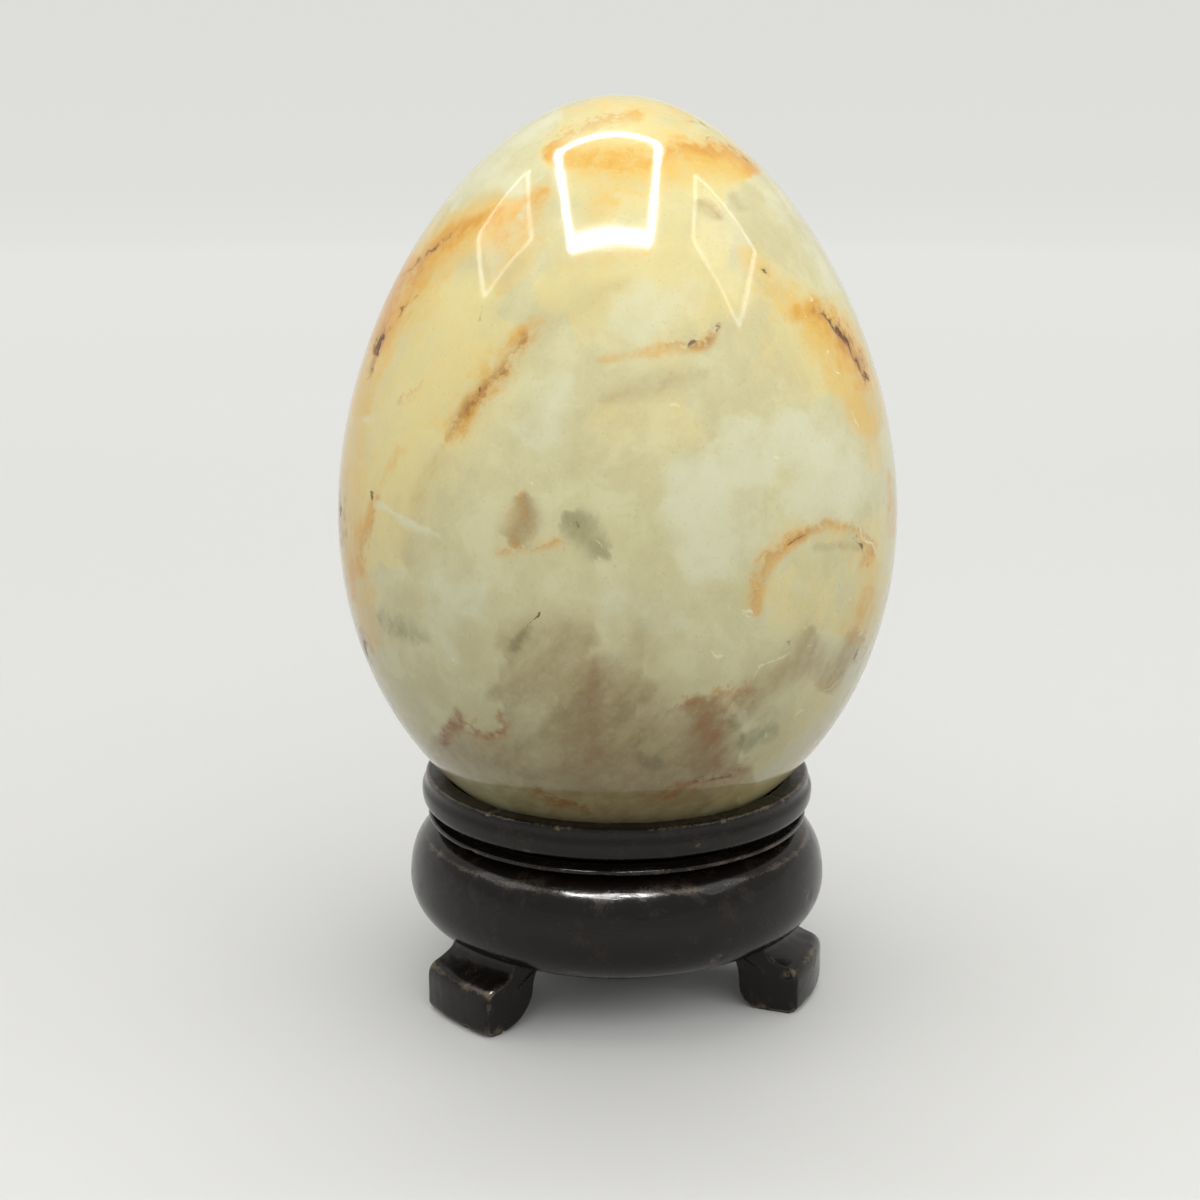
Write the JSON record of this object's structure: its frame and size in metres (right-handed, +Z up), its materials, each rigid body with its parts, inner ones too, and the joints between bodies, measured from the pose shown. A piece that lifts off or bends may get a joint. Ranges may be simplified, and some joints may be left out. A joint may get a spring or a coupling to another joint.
{
  "type": "decorative egg on stand",
  "caption": "Polished stone egg resting upright in the dished rim of a small round turned wooden stand with sawn, out-kicked feet.",
  "frame": {"origin": "middle of the footprint on the surface that the feet stand on, under the egg's axis", "axes": "+Z up along the axis of the egg and the stand; the front, with the wide gap between two feet, faces -Y"},
  "size_m": [0.0568, 0.0568, 0.0917],
  "materials": {
    "polished_stone": "high polish, cloudy pale green-white with ochre and rust veins",
    "dark_lacquered_wood": "near-black brown semi-gloss lacquer",
    "bare_wood": "bare"
  },
  "bodies": {
    "stand": {"rim": "dark_lacquered_wood", "body": "dark_lacquered_wood", "foot_right": "dark_lacquered_wood", "foot_back": "dark_lacquered_wood", "foot_left": "dark_lacquered_wood", "foot_peg_right": "bare_wood", "foot_peg_back": "bare_wood", "foot_peg_left": "bare_wood"},
    "egg": {"egg": "polished_stone"}
  },
  "joints": [
    {"name": "egg_lift", "type": "slide", "parent": "stand", "child": "egg", "axis": [0, 0, 1], "range_m": [0, 0.03]}
  ]
}
